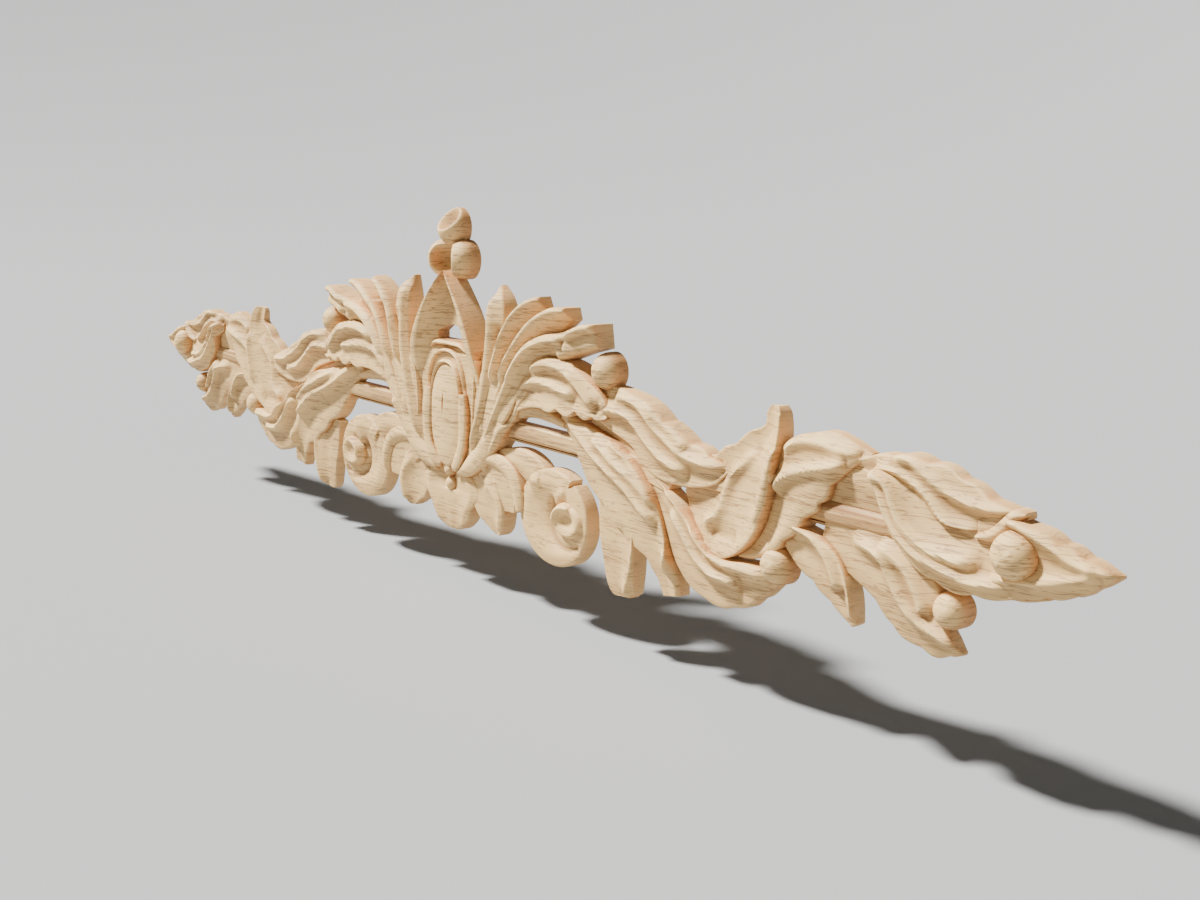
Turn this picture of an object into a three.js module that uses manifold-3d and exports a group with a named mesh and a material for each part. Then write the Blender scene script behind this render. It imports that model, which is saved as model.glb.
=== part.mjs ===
// Carved wood applique: a crown of acanthus over a moulded rod with leaves and berries.
// Millimetres, +Z up, the flat back lies on y = 0 and the carving faces -Y.
// Only the right half is described; the left half is its mirror image about x = 0.
import * as THREE from 'three';
import { mergeVertices } from 'three/addons/utils/BufferGeometryUtils.js';
import Module from 'manifold-3d';

const wasm = await Module();
wasm.setup();

// Driving dimensions: tip to tip, from the back to the highest berry, and the rod's share
const LENGTH = 596.8;
const RELIEF = 11.5;
const ROD_REACH = 0.824;
// Fineness of the facets
const ALONG = 6;
const AROUND = 14;
const SCROLL_AROUND = 20;
const DOME_STEPS = 4;
// Dish of the crown berries, as shares of the berry's radius
const DISH_REACH = 1.5;
const DISH_RADIUS = 1.05;
const DISH_FORWARD = 0.85;
// Least width of a leaf's end, least upright wall of a berry, and the step for a slope
const LEAST_WIDTH = 0.6;
const LEAST_WALL = 0.1;
const SLOPE_STEP = 0.01;
const WELD = 1e-4;
// Surplus behind the back face, planed off once everything is joined
const SURPLUS = 2;
const WOOD = 0xd9bd90;

// The tables below are drawn for this length and this relief
const DRAWN_LENGTH = 596.8;
const DRAWN_RELIEF = 11.5;
const WIDE = LENGTH / DRAWN_LENGTH;
const DEEP = RELIEF / DRAWN_RELIEF;
const ROD_HALF = ROD_REACH * LENGTH / 2;

// A leaf: stations [x, z, width, height] along its midrib from root to tip, and the
// relief across it as fractions of the height, from its right edge to its left edge.
const LEAVES = {
  crownFirst: {
    spine: [[17, -18, 8, 7], [22, -8, 9, 8.5], [29, 5, 11, 9], [33, 20, 12, 9],
      [34.4, 32, 11.6, 8.6], [34.4, 38.6, 11.6, 8.2], [33.4, 44, 8.4, 7], [31.6, 49.4, 0.8, 2.6]],
    across: [0.85, 1, 0.9, 0.75],
  },
  crownSecond: {
    spine: [[24, -14, 6, 8], [31, 2, 9, 9], [38, 17, 10, 9], [43, 28, 10, 8.5],
      [49, 36.5, 10, 7.5], [56, 42, 8.6, 6.4], [61.5, 45, 5.4, 5.2]],
    across: [0.7, 0.85, 1, 0.8],
  },
  crownThird: {
    spine: [[27, -14, 6, 8], [36, 3, 9, 9], [45, 17, 10, 9.5], [53, 27, 10, 9], [62, 35, 10, 8.5],
      [71, 40, 9, 7.5], [79, 42.8, 4.4, 6.5]],
    across: [0.75, 0.85, 1, 0.8],
  },
  crownFourth: {
    spine: [[25, -19, 5, 8], [34, -6, 9, 9], [44, 7, 11, 10], [52, 17, 12, 10.5],
      [60, 25, 12, 10.5], [69, 29.6, 10.5, 10], [78, 31.6, 9.4, 9.4], [86, 34, 9, 9.4],
      [93, 36, 9.2, 9.2], [97.6, 36.8, 8.4, 8.6]],
    across: [0.8, 1, 0.85, 0.9],
    along: 8,
  },
  crownFan: {
    spine: [[23, -20, 8, 7], [27, -8, 15, 8], [32, 4, 21, 8.4], [38, 14, 24, 8.2], [43, 22, 21, 7.4],
      [46, 27, 12, 6.2]],
    across: [0.94, 1, 0.94],
    along: 4,
  },
  hoodOuter: {
    spine: [[-0.5, 22.4, 2, 7.8], [5, 21.6, 2, 7.8], [9.6, 18.4, 2, 7.8], [12.2, 13.6, 2, 7.8],
      [13.4, 8, 1.6, 7.6]],
    across: [0.8, 1, 0.8],
    along: 5,
  },
  hood: {
    spine: [[-0.5, 18.2, 2.2, 8.2], [4, 17.4, 2.2, 8.2], [7.4, 14.6, 2.2, 8.2], [9.6, 10.4, 2, 8.2],
      [10.8, 5, 1.2, 8]],
    across: [0.8, 1, 0.8],
    along: 5,
  },
  earLeaf: {
    spine: [[13.2, 6.2, 6.2, 8.8], [13.6, 0, 6.4, 9.2], [13.8, -8, 5.6, 9.4], [12.6, -15, 5, 9.2],
      [9, -20.6, 5.2, 8.8], [4.4, -23.2, 3.4, 7.6]],
    across: [0.97, 1, 0.9],
  },
  stem: {
    spine: [[29.5, -12, 5, 7], [33, -4.6, 5.6, 7.4], [38.6, 1.4, 6.4, 7.4], [46.6, 5, 6.4, 7],
      [56, 6.2, 5.6, 6.4], [66, 5.2, 4.4, 6], [76, 3.4, 3, 5.6]],
    across: [0.75, 1, 0.75],
  },
  leafBelowCrown: {
    spine: [[42, 5, 5, 7], [52, 11.5, 11, 7.8], [62, 16.5, 17, 8.8], [73, 18, 18.6, 9.4],
      [84, 17.4, 17, 9.4], [93, 15.2, 12, 9.2], [100, 13, 7, 9], [104.8, 11.6, 1.4, 8.4]],
    across: [0.98, 0.9, 0.72, 1, 0.78],
    along: 7,
  },
  leafUpper: {
    spine: [[92, 14.5, 11, 6], [104, 13.6, 15, 6.8], [119, 10.2, 17.4, 7], [130, 4, 19.4, 7],
      [142, 1.3, 15.6, 7.2], [151, 0.6, 11.6, 7.2], [157, 1, 8, 7], [162.6, 2.6, 1.6, 6.4]],
    across: [0.85, 1, 0.75, 1, 0.7, 0.85, 0.5],
    along: 7,
  },
  leafDiagonal: {
    spine: [[74, 7, 6, 5.6], [84, 2.5, 10, 6.6], [95.4, -4.4, 19.6, 7.8], [109, -11, 24, 8.8],
      [121, -20, 23, 8.5], [130, -30, 14, 7.4], [134.5, -38, 11, 6.4], [136, -44, 9, 5.6]],
    across: [0.9, 1, 0.8, 1, 0.8, 1, 0.85],
  },
  web: {
    spine: [[90, 9, 8, 3], [100, 7, 12, 3.6], [111, 2.4, 14, 4.8], [121, -2, 11, 5.6],
      [129, -5.6, 7, 6], [135, -8.4, 4, 5.6]],
    across: [1, 0.92, 0.96],
    along: 5,
  },
  leafLower: {
    spine: [[127, -9, 7, 7.4], [136, -16, 12, 7.6], [144.5, -25.5, 18, 7.4], [154, -32, 18, 7],
      [165, -32.8, 16, 6.6], [175, -30, 12, 6.6], [184, -26.8, 5, 6.2]],
    across: [0.68, 0.85, 0.75, 1, 0.8, 0.95],
  },
  leafHanging: {
    spine: [[106, -18, 20, 5.6], [107.4, -29, 21, 5.9], [108.4, -37, 19, 5.9], [108.8, -44, 16.6, 5.6],
      [109, -50, 13.6, 4.6]],
    across: [0.78, 0.8, 1, 0.8],
  },
  foldLeft: {
    spine: [[180, 24.4, 5.4, 4.6], [180.2, 22.2, 8.4, 5.6], [180.6, 16.8, 9.6, 7],
      [176.6, 9.2, 18.6, 8.6], [171, 0.6, 27, 8.8],
      [163, -7.4, 32, 8.6], [153, -13.2, 29, 7.8], [144, -17, 20, 6.6]],
    across: [0.5, 0.7, 0.58, 0.72, 0.84, 0.98],
    along: 7,
  },
  foldRight: {
    spine: [[219, 15.8, 1.2, 4.6], [211, 14.6, 9.4, 6], [202.4, 11.8, 17.6, 7.6],
      [194.4, 5.6, 22, 8.2], [189, -3.4, 17, 8.4], [184, -12, 11, 8], [177, -18.5, 7, 7],
      [168, -22, 4, 6]],
    across: [0.5, 0.75, 0.7, 0.9, 1, 0.9],
  },
  endRoot: {
    spine: [[198, 6.8, 13.4, 4.4], [210, 6.4, 12.8, 4.6], [220, 5.8, 11.8, 4.6], [231, 4.6, 10, 4.4]],
    across: [0.8, 1, 0.85],
    along: 3,
  },
  leafHangingInner: {
    spine: [[185, -10, 6, 5.6], [194, -14.5, 12, 6.2], [204, -18.8, 14.4, 6],
      [211, -26, 10.6, 5.6], [215.8, -33.6, 2.4, 5]],
    across: [0.8, 1, 0.75, 1, 0.8],
  },
  leafHangingOuter: {
    spine: [[203, -8.4, 13, 5.4], [217, -11.5, 17, 6.2], [229, -15.6, 20, 6.4], [238.4, -23, 21, 5.8],
      [245.6, -29.2, 12, 4.8], [251.4, -30.8, 1, 3.4]],
    across: [0.8, 1, 0.75, 1, 0.8],
  },
  leafEndUpper: {
    spine: [[213, 11.5, 4, 6], [224, 12.6, 9, 6.4], [236, 12, 13, 6.6], [248, 9.6, 13.4, 6.4],
      [260, 7.4, 9, 5.6], [272, 8.8, 1.4, 4.6]],
    across: [0.95, 0.7, 0.8, 0.6],
  },
  leafEnd: {
    spine: [[221, 11.6, 5, 6.4], [229, 9, 10, 7.4], [235.4, 3, 16, 8], [243, -1.6, 19.6, 8],
      [252, -4.5, 20, 7.6], [262, -6, 16.5, 7], [272, -8, 10, 6], [280, -9.4, 3, 5]],
    across: [0.9, 1, 0.72, 1, 0.72, 0.8],
    along: 7,
  },
  endCurl: {
    spine: [[272, 9.4, 1, 5], [269, 8.4, 4, 6.4], [266.6, 5.4, 4.6, 6.8], [263, 2.6, 4, 6.8],
      [257.6, 1.2, 1.6, 6]],
    across: [0.8, 1, 0.85],
    along: 5,
  },
  leafTip: {
    spine: [[258, -3, 18, 6], [268, -2.5, 21, 6.4], [277, -2.2, 17.6, 6.4], [285, -2.4, 13, 5.6],
      [291.5, -1.8, 8, 4.4], [298.4, -0.9, 0.8, 2.6]],
    across: [0.75, 0.9, 0.8, 1, 0.75],
  },
  petalLow: {
    spine: [[18, -20, 14, 6.2], [25, -29, 20, 6.4], [30, -35.6, 19, 6], [31.6, -40, 15, 5.6],
      [32, -43, 9.6, 5.2], [32, -44.8, 3, 4.6]],
    across: [0.85, 0.8, 0.9, 1, 0.85],
    along: 5,
  },
  petalSide: {
    spine: [[22, -19, 8, 6.4], [31, -22.5, 12, 6.6], [38, -26.5, 14, 6.6], [41, -31, 12.6, 6.2],
      [41.5, -34, 9, 5.8]],
    across: [0.8, 0.85, 0.9, 1],
    along: 5,
  },
  petalRim: {
    spine: [[26, -16, 4, 8], [35, -15.5, 6, 8], [44, -18.5, 7, 8], [49, -25, 7, 8],
      [50.5, -32, 5, 7.5]],
    across: [0.8, 1, 0.9],
    along: 5,
  },
  scrollStem: {
    spine: [[30, -17, 8, 6], [40, -14.5, 9, 6], [50, -14, 10, 6], [58, -17, 12, 6],
      [64, -22, 12, 5.5]],
    across: [0.8, 1, 0.8],
    along: 5,
  },
};
// Forms on the middle line: the arched bowl of the crown and the lowest petal
const ARCH_BOWL = {
  spine: [[0, 53, 1, 9.2], [0, 50.5, 6.6, 9.7], [0, 46.6, 14.8, 10.1], [0, 39, 28.4, 10.6],
    [0, 31, 38.6, 10.9], [0, 24, 45.4, 10.6], [0, 18, 49, 9.4], [0, 11, 51, 8], [0, 4, 50, 6.4]],
  across: [0.98, 0.94, 0.6, 0.42, 0.34, 0.42, 0.6, 0.94, 0.98],
  along: 8,
};
const PETAL_MIDDLE = {
  spine: [[0, -24, 24, 5.5], [0, -27, 36, 6], [0, -30.5, 41.4, 6], [0, -34, 39, 6],
    [0, -39, 30, 5.8], [0, -43, 26, 5.6], [0, -47, 16, 5], [0, -48.6, 5, 4.5]],
  across: [0.9, 1, 0.75, 0.6, 0.75, 1, 0.9],
};
// Oval bosses: centre [x, z], half width and half height, heights from the middle outwards
const SCROLL = { at: [70.5, -30.5], radii: [21, 17.4], heights: [5.4, 5.2, 6.4, 6.4, 5.0] };
const SCROLL_EYE = { at: [79, -30.5], radii: [9.6, 7], heights: [6.2, 6.4, 7.6, 6.4] };
const ALMOND = { at: [0, -3], radii: [11.6, 20.4], heights: [9.1, 8.8, 8.4, 7.4] };
// Body of the crown behind the ribs
const BODY = [[0, 56], [4, 50], [9, 43], [14, 36], [18, 30], [22, 25], [30, 15], [36, 4], [34, -5], [29, -14],
  [20, -21], [14, -24.6], [8, -24.6], [3, -22.6], [0, -22]];
const BODY_FRONT = 6.4;
// The body is thinner where the bowl is hollowed, above this height on the board
const HOLLOW = { foot: 23.5, floor: 3.4 };
// Small opening above the hood, its sides bent in at a share of its width and height
const PIERCING = { foot: 26.3, apex: 32.4, half: 9, bend: [0.8, 0.6] };
// Section of the rod [height, z]: round bead, groove and thin ledge
const ROD = [[2.6, -7.4], [2.6, -6.7], [0.8, -6.6], [0.8, -6], [4.2, -5.8], [5.1, -4.9], [5.4, -2.9],
  [5, -0.9], [3.8, 0.4]];
// Berries: centre [x, z], radius, height of the crest, and the side the dish looks to
const BERRIES = [
  { at: [6.8, 57.4], radius: 7.5, top: 9.9, dish: [-0.7, 0] },
  { at: [99.6, 25.3], radius: 6.5, top: 9.3 },
  { at: [184.7, -22.9], radius: 6, top: 9 },
  { at: [250.3, -20.4], radius: 5.3, top: 8.5 },
  { at: [270.5, -1], radius: 6.6, top: 11.5 },
];
const TOP_BERRY = { at: [0, 69.3], radius: 7.6, top: 9.6, dish: [0, 0.75] };
const BEAD = { at: [0, -23.6], radius: 2.4, top: 7.5 };

// Smooth value of a table of rows at t in 0..1
function sample(rows, t) {
  const s = t * (rows.length - 1);
  const i = Math.min(Math.floor(s), rows.length - 2);
  const f = s - i;
  const p0 = rows[Math.max(i - 1, 0)];
  const p1 = rows[i];
  const p2 = rows[i + 1];
  const p3 = rows[Math.min(i + 2, rows.length - 1)];
  return p1.map((v, k) => v + 0.5 * f * (p2[k] - p0[k]
    + f * (2 * p0[k] - 5 * v + 4 * p2[k] - p3[k] + f * (3 * (v - p2[k]) + p3[k] - p0[k]))));
}

function manifoldOf(geometry) {
  const bare = new THREE.BufferGeometry();
  bare.setAttribute('position', geometry.getAttribute('position'));
  if (geometry.index) bare.setIndex(geometry.index);
  const merged = mergeVertices(bare, WELD);
  return new wasm.Manifold(new wasm.Mesh({
    numProp: 3,
    vertProperties: new Float32Array(merged.getAttribute('position').array),
    triVerts: new Uint32Array(merged.index.array),
  }));
}

// Closed solid with a front of rows x columns points [x, height, z] over the flat back
function reliefSolid(front) {
  const rows = front.length;
  const cols = front[0].length;
  const points = [];
  for (const row of front) for (const p of row) points.push(p[0], -p[1], p[2]);
  for (const row of front) for (const p of row) points.push(p[0], SURPLUS, p[2]);
  const index = [];
  const back = rows * cols;
  const quad = (a, b, c, d) => index.push(a, b, c, a, c, d);
  for (let i = 0; i < rows - 1; i++) {
    for (let j = 0; j < cols - 1; j++) {
      const a = i * cols + j;
      quad(a, a + cols, a + cols + 1, a + 1);
      quad(back + a, back + a + 1, back + a + cols + 1, back + a + cols);
    }
  }
  const rim = [];
  for (let j = 0; j < cols; j++) rim.push(j);
  for (let i = 1; i < rows; i++) rim.push(i * cols + cols - 1);
  for (let j = cols - 2; j >= 0; j--) rim.push((rows - 1) * cols + j);
  for (let i = rows - 2; i > 0; i--) rim.push(i * cols);
  rim.forEach((a, k) => {
    const b = rim[(k + 1) % rim.length];
    quad(a, b, back + b, back + a);
  });
  const geometry = new THREE.BufferGeometry();
  geometry.setAttribute('position', new THREE.Float32BufferAttribute(points, 3));
  geometry.setIndex(index);
  return manifoldOf(geometry);
}

function leafSolid({ spine, across, along = ALONG }) {
  const fractions = across.map((v) => [v]);
  const cols = across.length;
  const rows = [];
  for (let i = 0; i <= along; i++) {
    const t = i / along;
    const [x, z, width, height] = sample(spine, t);
    const ahead = sample(spine, Math.min(t + SLOPE_STEP, 1));
    const behind = sample(spine, Math.max(t - SLOPE_STEP, 0));
    const run = Math.hypot(ahead[0] - behind[0], ahead[1] - behind[1]);
    const nx = -(ahead[1] - behind[1]) / run;
    const nz = (ahead[0] - behind[0]) / run;
    const row = [];
    for (let j = 0; j < cols; j++) {
      const v = j / (cols - 1);
      const reach = (v - 0.5) * Math.max(width, LEAST_WIDTH);
      const front = height * sample(fractions, v)[0];
      row.push([WIDE * (x + nx * reach), DEEP * front, WIDE * (z + nz * reach)]);
    }
    rows.push(row);
  }
  return reliefSolid(rows);
}

// Oval boss with ring heights from its centre to its edge
function bossSolid({ at, radii, heights }, around = AROUND) {
  const section = [new THREE.Vector2(0, -SURPLUS), new THREE.Vector2(1, -SURPLUS)];
  for (let k = heights.length - 1; k >= 0; k--) {
    section.push(new THREE.Vector2(k / (heights.length - 1), DEEP * heights[k]));
  }
  const lathe = new THREE.LatheGeometry(section, around);
  lathe.rotateX(Math.PI);
  lathe.scale(WIDE * radii[0], 1, WIDE * radii[1]);
  lathe.translate(WIDE * at[0], 0, WIDE * at[1]);
  return manifoldOf(lathe);
}

// Round berry: a dome on a short upright wall, with a dish ground into it where asked
function berrySolid({ at, radius, top, dish }, around = AROUND) {
  const r = WIDE * radius;
  const shoulder = Math.max(DEEP * top - r, LEAST_WALL);
  const section = [new THREE.Vector2(0, -SURPLUS), new THREE.Vector2(r, -SURPLUS)];
  for (let k = 0; k <= DOME_STEPS; k++) {
    const a = (k / DOME_STEPS) * Math.PI / 2;
    const reach = k === DOME_STEPS ? 0 : r * Math.cos(a);
    section.push(new THREE.Vector2(reach, shoulder + r * Math.sin(a)));
  }
  const lathe = new THREE.LatheGeometry(section, around);
  lathe.rotateX(Math.PI);
  lathe.translate(WIDE * at[0], 0, WIDE * at[1]);
  const solid = manifoldOf(lathe);
  if (!dish) return solid;
  const look = new THREE.Vector3(dish[0], -DISH_FORWARD, dish[1]).setLength(r * DISH_REACH);
  const cutter = new THREE.IcosahedronGeometry(r * DISH_RADIUS, 2);
  cutter.translate(WIDE * at[0] + look.x, look.y - shoulder, WIDE * at[1] + look.z);
  return solid.subtract(manifoldOf(cutter));
}

function prismSolid(outline, front, foot = -SURPLUS) {
  const shape = new THREE.Shape(outline.map(([x, z]) => new THREE.Vector2(WIDE * x, WIDE * z)));
  const geometry = new THREE.ExtrudeGeometry(shape, { depth: front - foot, bevelEnabled: false });
  geometry.rotateX(Math.PI / 2);
  geometry.translate(0, -foot, 0);
  return manifoldOf(geometry);
}

// Outline given for the right half, closed by its mirror image
function mirrored(outline) {
  return [...outline, ...outline.slice(1, -1).reverse().map(([x, z]) => [-x, z])];
}

function bodySolid() {
  const { foot, floor } = HOLLOW;
  const upper = [[-DRAWN_LENGTH, foot], [DRAWN_LENGTH, foot], [0, DRAWN_LENGTH]];
  const hollow = prismSolid(upper, 2 * RELIEF, DEEP * floor);
  return prismSolid(mirrored(BODY), DEEP * BODY_FRONT).subtract(hollow);
}

function rodSolid() {
  const front = ROD.map(([height, z]) => new THREE.Vector2(DEEP * height, WIDE * z));
  const section = new THREE.Shape([new THREE.Vector2(-SURPLUS, front[0].y), ...front,
    new THREE.Vector2(-SURPLUS, front[front.length - 1].y)]);
  const geometry = new THREE.ExtrudeGeometry(section, { depth: 2 * ROD_HALF, bevelEnabled: false });
  geometry.applyMatrix4(new THREE.Matrix4().makeBasis(
    new THREE.Vector3(0, -1, 0), new THREE.Vector3(0, 0, 1), new THREE.Vector3(-1, 0, 0)));
  geometry.translate(ROD_HALF, 0, 0);
  return manifoldOf(geometry);
}

function piercingSolid() {
  const { foot, apex, half, bend } = PIERCING;
  const side = [bend[0] * half, foot + bend[1] * (apex - foot)];
  return prismSolid([[-half, foot], [half, foot], side, [0, apex], [-side[0], side[1]]], 2 * RELIEF);
}

function surplusSolid() {
  const slab = new THREE.BoxGeometry(2 * LENGTH, 2 * SURPLUS, LENGTH);
  slab.translate(0, SURPLUS, 0);
  return manifoldOf(slab);
}

function appliqueSolid() {
  const half = [
    ...Object.values(LEAVES).map((leaf) => leafSolid(leaf)),
    ...BERRIES.map((berry) => berrySolid(berry)),
    bossSolid(SCROLL, SCROLL_AROUND),
    bossSolid(SCROLL_EYE),
  ].reduce((whole, piece) => whole.add(piece));
  return half
    .add(half.mirror([1, 0, 0]))
    .add(bodySolid())
    .add(bossSolid(ALMOND))
    .add(leafSolid(ARCH_BOWL))
    .add(leafSolid(PETAL_MIDDLE))
    .add(berrySolid(TOP_BERRY))
    .add(berrySolid(BEAD))
    .add(rodSolid())
    .subtract(piercingSolid())
    .subtract(surplusSolid());
}

function meshFrom(solid, name) {
  const { vertProperties, triVerts, numProp } = solid.getMesh();
  const points = [];
  for (let k = 0; k < vertProperties.length; k += numProp) points.push(...vertProperties.slice(k, k + 3));
  const geometry = new THREE.BufferGeometry();
  geometry.setAttribute('position', new THREE.Float32BufferAttribute(points, 3));
  geometry.setIndex(Array.from(triVerts));
  const wood = new THREE.MeshStandardMaterial({ color: WOOD, roughness: 0.62, metalness: 0 });
  const mesh = new THREE.Mesh(geometry, wood);
  mesh.name = name;
  return mesh;
}

const applique = new THREE.Group();
applique.add(meshFrom(appliqueSolid(), 'carved_applique'));
export default applique;
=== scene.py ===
"""Carved wood applique with a crown of acanthus, a moulded rod, scrolls, leaves and berries."""

import math

import bmesh
import bpy
import numpy as np
from bpy.props import FloatProperty, FloatVectorProperty, PointerProperty
from mathutils import Matrix, Vector


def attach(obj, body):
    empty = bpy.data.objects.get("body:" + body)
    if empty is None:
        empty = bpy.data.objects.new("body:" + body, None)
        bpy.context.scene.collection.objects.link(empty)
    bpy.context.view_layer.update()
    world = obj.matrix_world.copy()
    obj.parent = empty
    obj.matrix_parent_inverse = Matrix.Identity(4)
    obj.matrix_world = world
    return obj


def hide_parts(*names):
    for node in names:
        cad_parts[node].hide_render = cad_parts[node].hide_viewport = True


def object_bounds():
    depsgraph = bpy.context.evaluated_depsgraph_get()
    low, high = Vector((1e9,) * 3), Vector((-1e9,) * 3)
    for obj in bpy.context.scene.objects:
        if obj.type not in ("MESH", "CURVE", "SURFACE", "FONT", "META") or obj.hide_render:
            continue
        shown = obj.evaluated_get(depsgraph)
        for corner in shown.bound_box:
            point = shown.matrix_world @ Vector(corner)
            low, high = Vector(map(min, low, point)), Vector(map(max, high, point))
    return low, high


bl_info = {
    "name": "Carved wood applique",
    "version": (1, 0, 0),
    "blender": (4, 5, 0),
    "location": "View3D > Sidebar > Applique",
    "description": "Carves the applique on its measured frame and sets it on a plain stage",
    "category": "Object",
}

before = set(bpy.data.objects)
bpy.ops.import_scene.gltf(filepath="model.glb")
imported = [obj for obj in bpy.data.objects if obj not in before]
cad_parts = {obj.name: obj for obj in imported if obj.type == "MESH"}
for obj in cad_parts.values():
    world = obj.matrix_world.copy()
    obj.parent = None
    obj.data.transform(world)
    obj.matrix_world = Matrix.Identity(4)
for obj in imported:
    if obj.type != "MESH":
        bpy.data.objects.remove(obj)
CAD_LOW, CAD_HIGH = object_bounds()
NODE = "carved_applique"
MM = 0.001

# The tables are drawn in millimetres for this length and this height of relief
DRAWN_LENGTH = 596.8
DRAWN_RELIEF = 11.5
# Wood left behind the back face until the joined carving is planed flat, and a cut right through it
SURPLUS = 2.0
THROUGH = -2 * SURPLUS
# The slab that planes the back: its cells and depth in metres, and its reach as a share of the length
WASTE_CELL = 0.012
WASTE_DEPTH = 0.01
WASTE_REACH = 0.53
# Fineness: steps for each point of a fold's path, cells of a leaf at least and beyond its pitch,
# cells across a boss and steps round a berry
PATH_STEPS = 5
LEAST_CELLS = 6
EXTRA_CELLS = 4
BOSS_CELLS = 44
BERRY_STEPS = 44
# Share of a berry's radius within which its points stay on its axis
POLE = 1e-4
# Share by which even steps are drawn towards the edges
GATHER = 0.3
# Step along a leaf for the direction of its run, and its least width
RUN_STEP = 0.01
LEAST_WIDTH = 0.4
# Folds: height for a rise of 1, factor on the width, roundness of the crest, and the share of the
# path that tapers at each end
FOLD_RISE = 2.2
FOLD_WIDTH = 1.15
FOLD_CREST = 0.85
FOLD_TAPER = 0.12
# Scallops: half width of a leaf from which they are full, and the power that keeps them at the edge
SCALLOP_ROOM = 6.0
SCALLOP_EDGE = 3
# Keeps a division by a length from failing
TINY = 1e-9

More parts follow.
